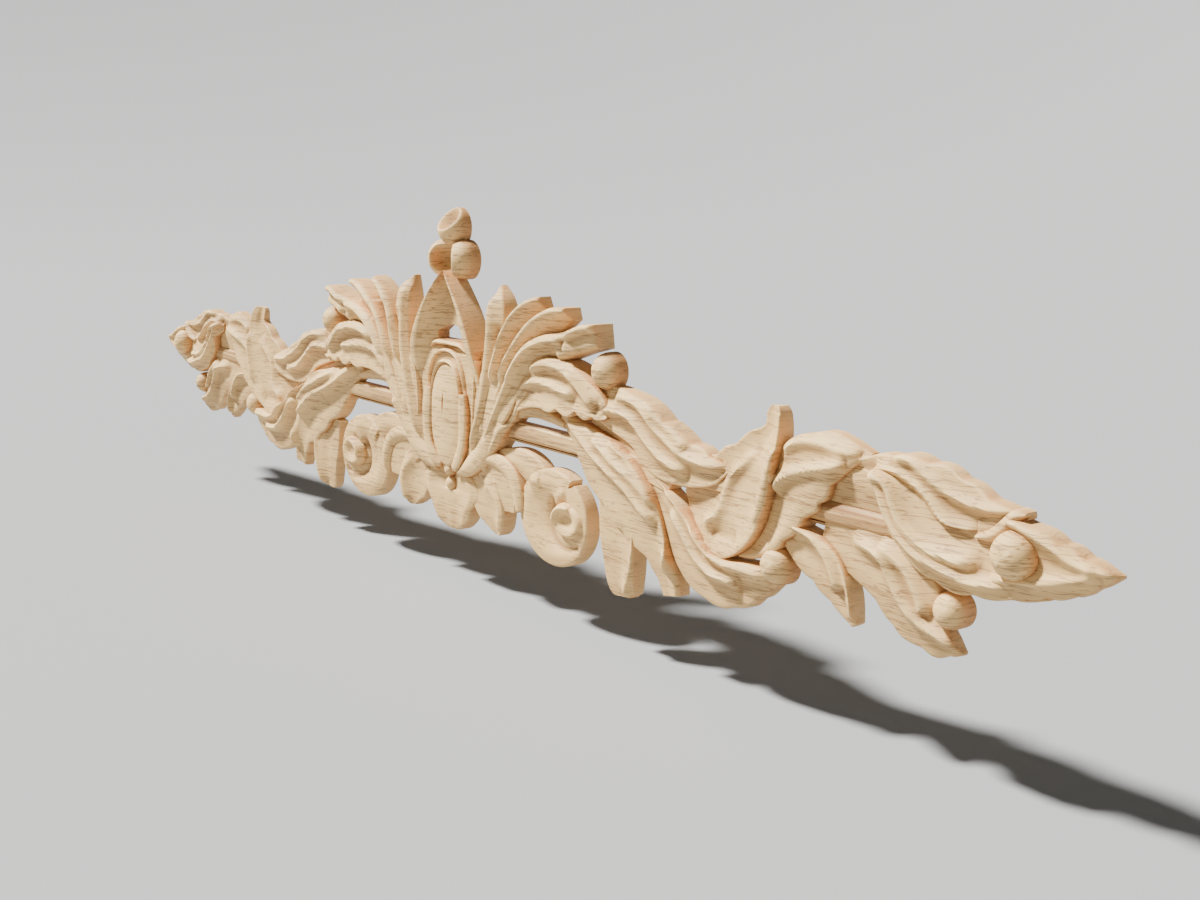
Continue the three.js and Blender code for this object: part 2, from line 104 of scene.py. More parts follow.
# A leaf: stations [x, z, width, height] along its midrib from root to tip, the relief across
# it as fractions of the height from its right edge to its left edge, folds [rise, half width,
# points] drawn on its face, and scallops [side, count, depth, start] of its wavy edges.
LEAVES = {
    "crown_first": dict(
        spine=[[17, -18, 8, 7], [22, -8, 9, 8.5], [29, 5, 11, 9], [33, 20, 12, 9],
               [34.4, 32, 11.6, 8.6], [34.4, 38.6, 11.6, 8.2], [33.4, 44, 8.4, 7], [31.6, 49.4, 0.8, 2.6]],
        across=[0.8, 0.92, 1, 0.92, 0.8],
        folds=[[0.7, 1.6, [[20, -14], [26, 2], [30.5, 18], [32, 32], [31.8, 46]]],
               [-0.8, 1.6, [[27, -6], [33, 8], [36.5, 22], [37, 36]]]]),
    "crown_second": dict(
        spine=[[24, -14, 6, 8], [31, 2, 9, 9], [38, 17, 10, 9], [43, 28, 10, 8.5],
               [49, 36.5, 10, 7.5], [56, 42, 8.6, 6.4], [61.5, 45, 5.4, 5.2]],
        across=[0.62, 0.8, 0.95, 1, 0.8],
        folds=[[1.2, 1.5, [[34, 14], [38.5, 24], [42, 33], [47, 39.5], [54, 44.5], [61, 47]]],
               [-0.9, 2, [[29, -4], [36, 12], [43, 26], [50, 36]]]]),
    "crown_third": dict(
        spine=[[27, -14, 6, 8], [36, 3, 9, 9], [45, 17, 10, 9.5], [53, 27, 10, 9],
               [62, 35, 10, 8.5], [71, 40, 9, 7.5], [79, 42.8, 4.4, 6.5]],
        across=[0.6, 0.75, 0.95, 1, 0.8],
        folds=[[1.2, 1.5, [[41, 15], [48, 27], [56, 35.5], [65, 41], [73, 44], [80, 45]]],
               [-1.0, 2, [[34, -2], [43, 12], [52, 24], [62, 33]]]]),
    "crown_fourth": dict(
        spine=[[25, -19, 5, 8], [34, -6, 9, 9], [44, 7, 11, 10], [52, 17, 12, 10.5],
               [60, 25, 12, 10.5], [69, 29.6, 10.5, 10], [78, 31.6, 9.4, 9.4], [86, 34, 9, 9.4],
               [93, 36, 9.2, 9.2], [97.6, 36.8, 8.4, 8.6]],
        across=[0.8, 0.95, 0.9, 0.85, 1, 0.9],
        folds=[[0.9, 1.4, [[47, 15], [55, 24.5], [63, 30], [72, 32.5], [80, 33]]],
               [-1.5, 2, [[40, -2], [50, 11], [58, 20], [67, 25.5], [77, 27.5]]],
               [1.0, 2.2, [[82, 30], [85, 36], [91, 39.5], [97, 40.5]]]]),
    "crown_fan": dict(
        spine=[[23, -20, 8, 7], [27, -8, 15, 8], [32, 4, 21, 8.4], [38, 14, 24, 8.2], [43, 22, 21, 7.4],
               [46, 27, 12, 6.2]],
        across=[0.94, 1, 0.98, 0.94]),
    "hood_outer": dict(
        spine=[[-0.5, 22.4, 2, 7.8], [5, 21.6, 2, 7.8], [9.6, 18.4, 2, 7.8], [12.2, 13.6, 2, 7.8],
               [13.4, 8, 1.6, 7.6]],
        across=[0.8, 1, 0.8]),
    "hood": dict(
        spine=[[-0.5, 18.2, 2.2, 8.2], [4, 17.4, 2.2, 8.2], [7.4, 14.6, 2.2, 8.2], [9.6, 10.4, 2, 8.2],
               [10.8, 5, 1.2, 8]],
        across=[0.8, 1, 0.8]),
    "ledge": dict(
        spine=[[-0.5, 25.2, 2, 7.6], [5, 25, 2.2, 7.6], [9.5, 24.6, 2, 7.4], [13, 22.6, 1.2, 6.6]],
        across=[0.8, 1, 0.9]),
    "inner_rib": dict(
        spine=[[24, 21, 1.6, 9.4], [21.6, 11, 2.6, 8.6], [20.6, 0, 3, 8.4], [20.4, -9, 2.8, 8.4],
               [18.4, -18, 2, 7.6]],
        across=[0.8, 1, 0.8]),
    "ear_leaf": dict(
        spine=[[12.6, 6.6, 4.4, 8.6], [13.2, 0, 6, 8.9], [13.4, -8, 5.4, 9], [12, -15, 5, 9],
               [8.6, -20.6, 5.2, 8.8], [4.4, -23.2, 3.4, 7.6]],
        across=[0.93, 1, 0.97]),
    "crown_root": dict(
        spine=[[34, -2, 6, 8.2], [29, -10, 8.6, 8.9], [23, -16.4, 9, 9], [15.6, -21.4, 7, 8.6],
               [8, -24.4, 3, 7.6]],
        across=[0.84, 0.95, 1, 0.96, 0.9]),
    "stem": dict(
        spine=[[29.5, -12, 5, 7], [33, -4.6, 5.6, 7.4], [38.6, 1.4, 6.4, 7.4], [46.6, 5, 6.4, 7],
               [56, 6.2, 5.6, 6.4], [66, 5.2, 4.4, 6], [76, 3.4, 3, 5.6]],
        across=[0.7, 0.86, 0.96, 0.9]),
    "leaf_below_crown": dict(
        spine=[[42, 5, 5, 7], [52, 11.5, 11, 7.8], [62, 16.5, 17, 8.8], [73, 18, 18.6, 9.4],
               [84, 17.4, 17, 9.4], [93, 15.2, 12.4, 9], [99.6, 13, 8.4, 8.7], [103.8, 11.2, 3.6, 8.2]],
        across=[0.98, 0.84, 0.72, 0.74, 0.78],
        folds=[[1.5, 1.5, [[58, 21], [67, 24.3], [75, 24.7], [83, 23], [88, 20.4], [93, 16.4],
                           [98, 12.8]]],
               [1.3, 1.4, [[47, 8], [55.3, 15.4], [63, 17.6], [71, 17.6], [79, 16.6], [86, 15.6]]],
               [0.7, 1.8, [[84, 25], [91, 21.4], [97, 17], [103, 12.6]]]],
        scallops=[[-1, 4, 2.6, 0.3]]),
    "leaf_upper": dict(
        spine=[[92, 14.5, 11, 6], [104, 13.6, 15, 6.8], [119, 10.2, 17.4, 7], [130, 4, 19.4, 7],
               [142, 1.3, 15.6, 7.2], [151, 0.6, 11.6, 7.2], [157, 1, 8, 7], [162.6, 2.6, 1.6, 6.4]],
        across=[0.85, 0.76, 0.72, 0.72, 0.67, 0.65],
        folds=[[1.5, 1.5, [[106, 17.6], [114, 18], [120, 16.6], [125, 13.6], [129.5, 10.2], [135.5, 7.4],
                           [141, 5], [146, 3.4], [153, 2.8], [161, 2.6]]],
               [1.5, 1.5, [[99, 12], [104, 13], [110, 13], [116.5, 11.6], [121.5, 8.4], [126.5, 4.6],
                           [131.5, 1.8], [138, -0.2], [145, -1]]],
               [0.9, 1.2, [[124, 18.4], [128, 14.4], [133.5, 12], [139, 9.4], [144, 6.4]]]],
        scallops=[[1, 4, 1.1, 0.2]]),
    "leaf_diagonal": dict(
        spine=[[74, 7, 6, 5.6], [84, 2.5, 10, 6.6], [95.4, -4.4, 19.6, 7.8], [109, -11, 24, 8.8],
               [121, -20, 23, 8.5], [130, -30, 14, 7.4], [134.5, -38, 11, 6.4], [136, -44, 9, 5.6]],
        across=[0.74, 0.77, 0.76, 0.79, 0.85, 0.9, 0.77],
        folds=[[1.3, 1.5, [[79, 6.4], [86, 3], [93, -0.8], [100, -4.6], [107.8, -7.4], [115.6, -10.6],
                           [120.4, -13.4], [126.4, -17.4], [131.2, -19.4]]],
               [1.1, 1.3, [[96, 3], [103, 0], [112, -4], [120, -7], [126, -10.6], [130, -14]]],
               [1.7, 1.7, [[105, 4], [113, 1.6], [121, -1.6], [129, -6.4], [134, -13], [136.6, -21],
                           [137.4, -28], [136, -37]]]],
        scallops=[[-1, 6, 1.1, 0.1]]),
    "web": dict(
        spine=[[90, 9, 8, 3], [100, 7, 12, 3.6], [111, 2.4, 14, 4.8], [121, -2, 11, 5.6],
               [129, -5.6, 7, 6], [135, -8.4, 4, 5.6]],
        across=[1, 0.94, 0.9, 0.96]),
    "leaf_lower": dict(
        spine=[[127, -9, 7, 7.4], [136, -16, 12, 7.6], [144.5, -25.5, 18, 7.4], [154, -32, 18, 7],
               [165, -32.8, 16, 6.6], [175, -30, 12, 6.6], [184, -26.8, 5, 6.2]],
        across=[0.67, 0.72, 0.7, 0.76, 0.72, 0.85],
        folds=[[1.4, 1.4, [[138, -14], [144.3, -20.4], [149.2, -25.2], [154.1, -29.2], [160, -31.2],
                           [169.8, -31.7]]],
               [1.6, 1.6, [[134, -8], [146, -12.4], [152, -20], [158, -24.6], [165, -26.6], [174.8, -26.6],
                           [182.6, -26.2]]]],
        scallops=[[-1, 4, 0.9, 0.35]]),
    "leaf_hanging": dict(
        spine=[[106, -18, 20, 5.6], [107.4, -29, 21, 5.9], [108.4, -37, 19, 5.9], [108.8, -44, 16.8, 5.6],
               [109, -48.6, 14.4, 4.8], [109.2, -50.6, 9, 4.4]],
        across=[0.78, 0.8, 0.78, 0.88, 0.8],
        folds=[[0.9, 1.5, [[117.5, -14], [118, -24], [117.2, -35], [115.2, -43], [112, -50]]]]),
    "fold_left": dict(
        spine=[[180, 24.4, 5.4, 4.6], [180.2, 22.2, 8.4, 5.6], [180.6, 16.8, 9.6, 7],
               [176.6, 9.2, 18.6, 8.6], [171, 0.6, 27, 8.8], [163, -7.4, 32, 8.6],
               [153, -13.2, 29, 7.8], [144, -17, 20, 6.6]],
        across=[0.5, 0.46, 0.5, 0.7, 0.84, 0.96],
        folds=[[1.0, 1.5, [[176, 10], [170, 5.4], [165, 1], [162.4, -4], [161, -9], [158, -13],
                           [152, -16]]],
               [0.7, 1.6, [[184, 12], [183, 4], [181, -3], [178.6, -11]]],
               [-0.6, 2.2, [[156, -18], [163, -17.4], [170, -17.2]]]],
        scallops=[[-1, 5, 1.1, 0.15]]),
    "fold_right": dict(
        spine=[[219, 15.8, 1.2, 4.6], [211, 14.6, 9.4, 6], [202.4, 11.8, 17.6, 7.6], [194.4, 5.6, 22, 8.2],
               [189, -3.4, 17, 8.4], [184, -12, 11, 8], [177, -18.5, 7, 7], [168, -22, 4, 6]],
        across=[0.54, 0.63, 0.68, 0.77, 0.86, 0.83],
        folds=[[1.3, 1.5, [[184, 0], [187, 3.8], [191.7, 6.5], [197.6, 8.4], [205.4, 10.4], [212, 12]]],
               [1.1, 1.4, [[187, 11.6], [191, 15], [196.5, 16.6], [203, 16.6], [209, 15.8], [216, 15.4]]]],
        scallops=[[-1, 4, 1.1, 0.05], [1, 6, 1.5, 0.1]]),
    "end_root": dict(
        spine=[[198, 6.8, 13.4, 4.4], [210, 6.4, 12.8, 4.6], [220, 5.8, 11.8, 4.6], [231, 4.6, 10, 4.4]],
        across=[0.8, 0.9, 1, 0.85]),
    "hanging_inner": dict(
        spine=[[185, -10, 6, 5.6], [194, -14.5, 12, 6.2], [204, -18.8, 14.4, 6], [211, -26, 10.6, 5.6],
               [215.8, -33.6, 2.4, 5]],
        across=[0.7, 0.76, 0.72, 0.77, 0.81],
        folds=[[1.2, 1.4, [[191, -9], [199, -10], [205, -14], [208.4, -18.6], [211, -24.4]]],
               [1.1, 1.4, [[206, -9], [211.4, -12], [214.6, -18], [216, -25], [217, -32]]]],
        scallops=[[-1, 3, 1.1, 0.2]]),
    "hanging_outer": dict(
        spine=[[203, -8.4, 13, 5.4], [217, -11.5, 17, 6.2], [229, -15.6, 20, 6.4], [238.4, -23, 21, 5.8],
               [245, -28.8, 13, 4.9], [250.4, -31, 5.4, 4], [253.4, -32, 0.8, 3.2]],
        across=[0.67, 0.76, 0.72, 0.76, 0.72],
        folds=[[1.4, 1.5, [[215, -8], [226.6, -10.4], [230.6, -15.4], [235, -21.4], [240.4, -25.6],
                           [247.3, -28], [253.6, -30]]],
               [1.2, 1.4, [[226, -6.6], [235.5, -12], [239.6, -17], [243, -23]]]],
        scallops=[[-1, 4, 1.2, 0.3]]),
    "end_upper": dict(
        spine=[[213, 11.5, 4, 6], [224, 12.6, 9, 6.4], [236, 12, 13, 6.6], [248, 9.6, 13.4, 6.4],
               [260, 7.4, 9, 5.6], [272, 8.8, 1.4, 4.6]],
        across=[0.72, 0.63, 0.59, 0.67, 0.72],
        folds=[[1.5, 1.3, [[222, 13.6], [230, 13.6], [236, 12], [242, 9], [247, 4.6], [252, 2.2],
                           [258, 1.4]]],
               [1.3, 1.4, [[229, 17], [235.4, 17.6], [241.4, 14.4], [247.3, 11.4], [253.2, 9.6],
                           [261, 8.8], [270, 9.6]]]],
        scallops=[[1, 5, 1.1, 0.1]]),
    "end_leaf": dict(
        spine=[[221, 11.6, 5, 6.4], [229, 9, 10, 7.4], [235.4, 3, 16, 8], [243, -1.6, 19.6, 8],
               [252, -4.5, 20, 7.6], [262, -6, 16.5, 7], [272, -8, 10, 6], [280, -9.4, 3, 5]],
        across=[0.82, 0.72, 0.7, 0.74, 0.66, 0.6],
        folds=[[1.7, 1.3, [[222, 13], [226, 8.6], [229.8, 2.8], [234.4, -2.4], [240.4, -6.4], [248, -8.8],
                           [258, -10.4], [270, -9.6]]],
               [1.7, 1.3, [[222, 13.4], [229, 10.4], [232.6, 5], [236.6, 0], [243, -3.8], [251, -5.4],
                           [259.5, -5.7]]]],
        scallops=[[-1, 5, 1.0, 0.2]]),
    "end_curl": dict(
        spine=[[272, 9.4, 1, 5], [269, 8.4, 4, 6.4], [266.6, 5.4, 4.6, 6.8], [263, 2.6, 4, 6.8],
               [257.6, 1.2, 1.6, 6]],
        across=[0.8, 1, 0.85]),
    "tip": dict(
        spine=[[258, -3, 18, 6], [268, -2.5, 21, 6.4], [277, -2.2, 17.6, 6.4], [285, -2.4, 13, 5.6],
               [291.5, -1.8, 8, 4.4], [298.4, -0.9, 0.8, 2.6]],
        across=[0.7, 0.76, 0.72, 0.77, 0.74],
        folds=[[1.3, 1.5, [[266, 8], [272, 6.6], [278.3, 4.6], [283.2, 2.8], [287.1, 1], [293, 0],
                           [298, -0.8]]],
               [1.0, 1.5, [[262, -9], [272, -7.4], [280, -6], [288, -3.6], [294, -1.6]]]],
        scallops=[[1, 3, 1.1, 0.3], [-1, 4, 0.9, 0.3]]),
    "petal_low": dict(
        spine=[[18, -20, 14, 6.2], [25, -29, 20, 6.4], [30, -35.6, 19, 6], [31.6, -40, 15, 5.6],
               [32, -43, 9.6, 5.2], [32, -44.8, 3, 4.6]],
        across=[0.86, 0.82, 0.84, 0.94, 1],
        folds=[[0.6, 1.8, [[27, -24], [34.6, -30], [36.6, -36], [35, -43]]]]),
    "petal_side": dict(
        spine=[[22, -19, 8, 6.4], [31, -22.5, 12, 6.6], [38, -26.5, 14, 6.6], [41, -31, 12.6, 6.2],
               [41.5, -34, 9, 5.8]],
        across=[0.94, 0.96, 0.96, 1]),
    "petal_rim": dict(
        spine=[[26, -16, 4, 8], [35, -15.5, 6, 8], [44, -18.5, 7, 8], [49, -25, 7, 8],
               [50.5, -32, 5, 7.5]],
        across=[0.86, 1, 0.88]),
    "scroll_stem": dict(
        spine=[[30, -17, 8, 6], [40, -14.5, 9, 6], [50, -14, 10, 6], [58, -17, 12, 6], [64, -22, 12, 5.5]],
        across=[0.85, 1, 0.8]),
}
MIDDLE_LEAVES = {
    "petal_middle": dict(
        spine=[[0, -24, 24, 5.5], [0, -27, 36, 6], [0, -30.5, 41.4, 6], [0, -34, 39, 6],
               [0, -39, 30, 5.8], [0, -43, 26, 5.6], [0, -47, 16, 5.2], [0, -48.6, 7, 4.8]],
        across=[0.86, 0.9, 0.9, 0.95, 0.9, 0.9, 0.86],
        folds=[[-1.0, 3.0, [[0, -22], [0, -32.4]]],
               [0.4, 2.2, [[10, -24], [15.6, -30.4], [14.4, -36], [10.4, -41], [8.6, -48]]],
               [0.4, 2.2, [[-10, -24], [-15.6, -30.4], [-14.4, -36], [-10.4, -41], [-8.6, -48]]]]),
    "bowl": dict(
        spine=[[0, 53, 1, 9.2], [0, 50.5, 6.6, 9.7], [0, 46.6, 14.8, 10.1], [0, 39, 28.4, 10.6],
               [0, 31, 38.6, 10.9], [0, 24, 45.4, 10.6], [0, 18, 49, 9.4],
               [0, 11, 51, 8], [0, 4, 50, 6.4]],
        across=[0.98, 0.95, 0.72, 0.54, 0.42, 0.36, 0.34, 0.36, 0.42, 0.54, 0.72, 0.95, 0.98]),
    "body": dict(
        spine=[[0, 50, 2, 3.4], [0, 44, 15, 3.4], [0, 36, 28, 3.4], [0, 30, 36, 3.4], [0, 25, 44, 4.6],
               [0, 21, 50, 6.4], [0, 14, 60, 6.6], [0, 4, 72, 6.6], [0, -5, 68, 6.6], [0, -14, 56, 6.4],
               [0, -21, 38, 6.2], [0, -24.6, 16, 6]],
        across=[1, 1, 1]),
}
# Oval bosses: centre, half width and half height, heights from the middle outwards, and folds
BOSSES = {
    "scroll": dict(
        at=[70.5, -30.5], radii=[21, 17.6], rings=[4.6, 4.8, 5.6, 6.4, 5.6],
        folds=[[-1.5, 1.1, [[71.5, -22.6], [68.4, -28.6], [69, -35.2], [73.4, -39.2], [80.6, -40.2],
                            [87, -37.6]]],
               [1.1, 1.2, [[79, -20], [75.6, -21.4], [72, -25]]],
               [1.0, 3.0, [[57.6, -19.6], [63, -17.4]]]]),
    "scroll_eye": dict(
        at=[80.4, -29.8], radii=[9.6, 6.9], rings=[6, 6.2, 7.2, 7.4, 5.4],
        folds=[[1.3, 1.1, [[73.4, -31], [74.8, -27.2], [78.4, -25], [83, -24.6]]]]),
}
MIDDLE_BOSSES = {
    "almond": dict(at=[0, -3], radii=[11.6, 20.4], rings=[9.1, 8.9, 8.4, 7.4]),
}
# Berries: centre, radius, height of the crest and the side that the dish looks to
BERRIES = [
    dict(at=[6.8, 57.4], radius=7.5, top=9.9, dish=[-0.7, 0]),
    dict(at=[99.6, 25.3], radius=6.5, top=9.3),
    dict(at=[184.7, -22.9], radius=6, top=9),
    dict(at=[250.3, -20.4], radius=5.2, top=8.5),
    dict(at=[270.5, -1], radius=6.6, top=11.5),
]
MIDDLE_BERRIES = [
    dict(at=[0, 69.3], radius=7.6, top=9.6, dish=[0, 0.75]),
    dict(at=[0, -24.6], radius=2.7, top=7.6),
    dict(at=[0, -30.2], radius=3.0, top=7),
]
# The dish: how far it looks forward, the share of the radius where it starts, and its sink
DISH_FORWARD = -0.85
DISH_SIDE = 0.64
DISH_SINK = 1.3
# Half length of the rod, and its section [z, height], where a height of 0 goes on to the surplus
ROD_HALF = 246.0
ROD_SECTION = [[-7.4, 0], [-7.4, 2.6], [-6.7, 2.6], [-6.6, 0.8], [-6.0, 0.8], [-5.8, 4.2], [-4.9, 5.1],
               [-2.9, 5.4], [-0.9, 5.0], [0.4, 3.8], [0.4, 0]]
# Gap between the scroll's upper lobe and its turn
NOTCH = [[83, -10], [81.2, -14.6], [80.4, -18], [82, -17.6], [85.4, -15.2], [88.4, -10]]
# Small opening above the hood
PIERCING = [[-9, 26.3], [9, 26.3], [9, 29], [5, 31.5], [0, 32.4], [-5, 31.5], [-9, 29]]
# Slit in the middle of the almond, and its floor above the back
SLIT = [[0, 6.6], [-0.6, 3.4], [-0.5, 0.2], [0, -3], [0.5, 0.2], [0.6, 3.4]]
SLIT_FLOOR = 5.6


class CarvingSizes(bpy.types.PropertyGroup):
    """Sizes of the carved board."""
    length: FloatProperty(name="Length", description="Tip to tip", unit="LENGTH",
                          default=CAD_HIGH.x - CAD_LOW.x)
    relief: FloatProperty(name="Relief", description="Highest crest above the flat back", unit="LENGTH",
                          default=CAD_HIGH.y - CAD_LOW.y)
    pitch: FloatProperty(name="Tool pitch", description="Spacing of the carved surface's points",
                         unit="LENGTH", default=0.9 * MM)
    rim: FloatProperty(name="Rim", description="Radius of the sanded edges", unit="LENGTH",
                       default=0.8 * MM)
    crease: FloatProperty(name="Crease", description="Angle from which an edge stays sharp",
                          subtype="ANGLE", default=math.radians(42))


class BeechLook(bpy.types.PropertyGroup):
    """Colours and grain of the bare wood, with the colours of its painted shade and highlight."""
    face: FloatVectorProperty(name="Face", description="Sanded face grain", subtype="COLOR", size=4,
                              default=(0.82, 0.54, 0.215, 1))
    wall: FloatVectorProperty(name="Wall", description="Cut side walls", subtype="COLOR", size=4,
                              default=(0.72, 0.36, 0.13, 1))
    streak: FloatVectorProperty(name="Streak", description="Darker growth lines", subtype="COLOR", size=4,
                                default=(0.19, 0.095, 0.035, 1))
    fleck: FloatVectorProperty(name="Fleck", description="Small brown rays", subtype="COLOR", size=4,
                               default=(0.20, 0.10, 0.04, 1))
    # Colour of the painted shade in deep cuts and at the foot of the walls
    recess_shade: FloatVectorProperty(name="Recess", description="Deep cuts and the foot of the walls",
                                subtype="COLOR", size=4, default=(0.24, 0.10, 0.03, 1))
    # Colour of the painted highlight on edges and crests
    crest: FloatVectorProperty(name="Crest", description="Painted highlight on edges and crests",
                               subtype="COLOR", size=4, default=(0.88, 0.64, 0.30, 1))
    roughness: FloatProperty(name="Roughness", description="Sanded and unvarnished", default=0.62)


class StageLook(bpy.types.PropertyGroup):
    """Plain floor and soft light."""
    floor: FloatVectorProperty(name="Floor", description="Pale floor", subtype="COLOR", size=4,
                               default=(0.30, 0.30, 0.297, 1))
    key: FloatProperty(name="Key light", description="Light on the piece, watts a square metre",
                       default=13.6)


def smooth_rows(rows, t):
    """Smooth values of a table of rows at each t from 0 to 1."""
    rows = np.asarray(rows, float)
    s = np.clip(t, 0, 1) * (len(rows) - 1)
    i = np.minimum(s.astype(int), len(rows) - 2)
    f = (s - i)[:, None]
    p0 = rows[np.maximum(i - 1, 0)]
    p1 = rows[i]
    p2 = rows[i + 1]
    p3 = rows[np.minimum(i + 2, len(rows) - 1)]
    return p1 + 0.5 * f * (p2 - p0 + f * (2 * p0 - 5 * p1 + 4 * p2 - p3 + f * (3 * (p1 - p2) + p3 - p0)))


def drawn_scale(sizes):
    """Metres for each drawn millimetre, along the board and out of it."""
    return sizes.length / DRAWN_LENGTH, sizes.relief / DRAWN_RELIEF


def rounding(edge, radius):
    """How far a sanded edge falls at this distance from it."""
    near = np.clip(radius - edge, 0, radius)
    return radius - np.sqrt(radius * radius - near * near)


def fold_relief(path, width, x, z):
    """Height, 0 to 1, of a fold along a smooth path, tapered at both ends, at every point (x, z)."""
    dots = smooth_rows(path, np.linspace(0, 1, PATH_STEPS * len(path)))
    near = np.full(x.shape, np.inf)
    reached = np.zeros(x.shape)
    for k, (start, end) in enumerate(zip(dots[:-1], dots[1:])):
        run = end - start
        share = ((x - start[0]) * run[0] + (z - start[1]) * run[1]) / (run @ run + TINY)
        share = np.clip(share, 0, 1)
        away = np.hypot(x - start[0] - share * run[0], z - start[1] - share * run[1])
        reached = np.where(away < near, (k + share) / (len(dots) - 1), reached)
        near = np.minimum(near, away)
    taper = np.clip(np.minimum(reached, 1 - reached) / FOLD_TAPER, 0, 1)
    return taper * (2 - taper) * np.exp((FOLD_CREST - np.hypot(near, FOLD_CREST)) / width)


def leaf_surface(leaf, u, v, rim, span):
    """Points [x, height, z] of a leaf's face for u along it, 0 to 1, and v across it, -1 to 1."""
    spine = leaf["spine"]
    rows = smooth_rows(spine, u)
    run = smooth_rows(spine, u + RUN_STEP)[:, :2] - smooth_rows(spine, u - RUN_STEP)[:, :2]
    run /= np.linalg.norm(run, axis=1)[:, None] + TINY
    half = np.maximum(rows[:, 2], LEAST_WIDTH) / 2
    for side, count, depth, start in leaf.get("scallops", ()):
        along = np.clip((u - start) / (1 - start), 0, 1)
        wave = np.abs(np.sin(math.pi * count * along)) - 0.5
        reach = depth * np.minimum(1, half / SCALLOP_ROOM)
        near_edge = np.clip(side * v, 0, 1) ** SCALLOP_EDGE
        half = half + near_edge * reach * wave * np.sin(math.pi * along) ** 0.5
    x = rows[:, 0] - run[:, 1] * v * half
    z = rows[:, 1] + run[:, 0] * v * half
    fraction = smooth_rows([[f] for f in leaf["across"]], (v + 1) / 2)[:, 0]
    height = rows[:, 3] * fraction
    for rise, width, path in leaf.get("folds", ()):
        height = height + FOLD_RISE * rise * fold_relief(path, FOLD_WIDTH * width, x, z)
    edge = np.minimum((1 - np.abs(v)) * half, (1 - u) * span)
    return np.stack([x, height - rounding(edge, rim), z], 1)


def gather(share):
    """Moves even steps from -1 to 1 towards both ends, where edges are rounded."""
    return share * (1 + GATHER - GATHER * share * share)


def solid_object(name, bm):
    """A new object from a bmesh, the faces of a closed one turned outwards."""
    bmesh.ops.recalc_face_normals(bm, faces=bm.faces[:])
    mesh = bpy.data.meshes.new(name)
    bm.to_mesh(mesh)
    bm.free()
    obj = bpy.data.objects.new(name, mesh)
    bpy.context.scene.collection.objects.link(obj)
    return obj


def back_up(bm, deep):
    """Extrudes a sheet's faces to a flat surplus behind the back face."""
    made = bmesh.ops.extrude_face_region(bm, geom=bm.faces[:])["geom"]
    for vert in made:
        if isinstance(vert, bmesh.types.BMVert):
            vert.co.y = deep


def carve_leaf(name, leaf, sizes):
    """One leaf as a closed solid, its face shaped from a grid."""
    pitch = sizes.pitch / MM
    spine = np.asarray(leaf["spine"], float)
    span = np.linalg.norm(np.diff(spine[:, :2], axis=0), axis=1).sum()
    along = max(LEAST_CELLS, round(span / pitch))
    across = max(LEAST_CELLS, round(spine[:, 2].max() / pitch) + EXTRA_CELLS)
    bm = bmesh.new()
    bmesh.ops.create_grid(bm, x_segments=along, y_segments=across, size=0.5)
    grid = np.array([vert.co[:2] for vert in bm.verts]) * 2
    u = (gather(grid[:, 0]) + 1) / 2
    points = leaf_surface(leaf, u, gather(grid[:, 1]), sizes.rim / MM, span)
    wide, deep = drawn_scale(sizes)
    for vert, (x, height, z) in zip(bm.verts, points):
        vert.co = (x * wide, -height * deep, z * wide)
    back_up(bm, SURPLUS * MM)
    return solid_object(name, bm)


def carve_boss(name, boss, sizes):
    """An oval boss: rings of a filled circle lifted to their heights."""
    wide, deep = drawn_scale(sizes)
    bm = bmesh.new()
    bmesh.ops.create_grid(bm, x_segments=BOSS_CELLS, y_segments=BOSS_CELLS, size=1)
    grid = np.array([vert.co[:2] for vert in bm.verts])
    ring = gather(np.abs(grid).max(axis=1))
    grid *= (ring / (np.linalg.norm(grid, axis=1) + TINY))[:, None]
    x, z = (grid * boss["radii"] + boss["at"]).T
    height = smooth_rows([[h] for h in boss["rings"]], ring)[:, 0]
    for rise, width, path in boss.get("folds", ()):
        height = height + rise * fold_relief(path, width, x, z)
    height -= rounding((1 - ring) * min(boss["radii"]), sizes.rim / MM)
    for vert, across, out, up in zip(bm.verts, x, height, z):
        vert.co = (across * wide, -out * deep, up * wide)
    back_up(bm, SURPLUS * MM)
    return solid_object(name, bm)


def carve_berry(name, berry, sizes):
    """A domed berry on an upright wall, with a dish pressed into the side it looks to."""
    wide, deep = drawn_scale(sizes)
    radius = berry["radius"] * wide
    shoulder = berry["top"] * deep - radius
    bm = bmesh.new()
    bmesh.ops.create_uvsphere(bm, u_segments=BERRY_STEPS, v_segments=BERRY_STEPS, radius=1,
                              matrix=Matrix.Rotation(math.pi / 2, 4, "X"))
    look = Vector((0, 0, 0))
    if "dish" in berry:
        look = Vector((berry["dish"][0], DISH_FORWARD, berry["dish"][1])).normalized()
    foot = (shoulder + SURPLUS * MM) / radius
    for vert in bm.verts:
        if vert.co.y > 0:
            ring = math.hypot(vert.co.x, vert.co.z)
            drop = math.acos(min(ring, 1)) / (math.pi / 2) * foot
            widen = 1 / ring if ring > POLE else 0
            vert.co = (vert.co.x * widen, drop, vert.co.z * widen)
        over = vert.co.dot(look) - DISH_SIDE
        if over > 0:
            vert.co -= look * over * (1 + DISH_SINK * min(1, over / (1 - DISH_SIDE)))
        vert.co = Vector((berry["at"][0] * wide, -shoulder, berry["at"][1] * wide)) + vert.co * radius
    return solid_object(name, bm)


def bar_object(name, outline, depth, turn):
    """An outline swept straight: its points are a few vertices and the rest is one extrude."""
    bm = bmesh.new()
    face = bm.faces.new([bm.verts.new((a, b, 0)) for a, b in outline])
    made = bmesh.ops.extrude_face_region(bm, geom=[face])["geom"]
    ahead = [vert for vert in made if isinstance(vert, bmesh.types.BMVert)]
    bmesh.ops.translate(bm, vec=(0, 0, depth), verts=ahead)
    bmesh.ops.transform(bm, matrix=turn, verts=bm.verts)
    return solid_object(name, bm)


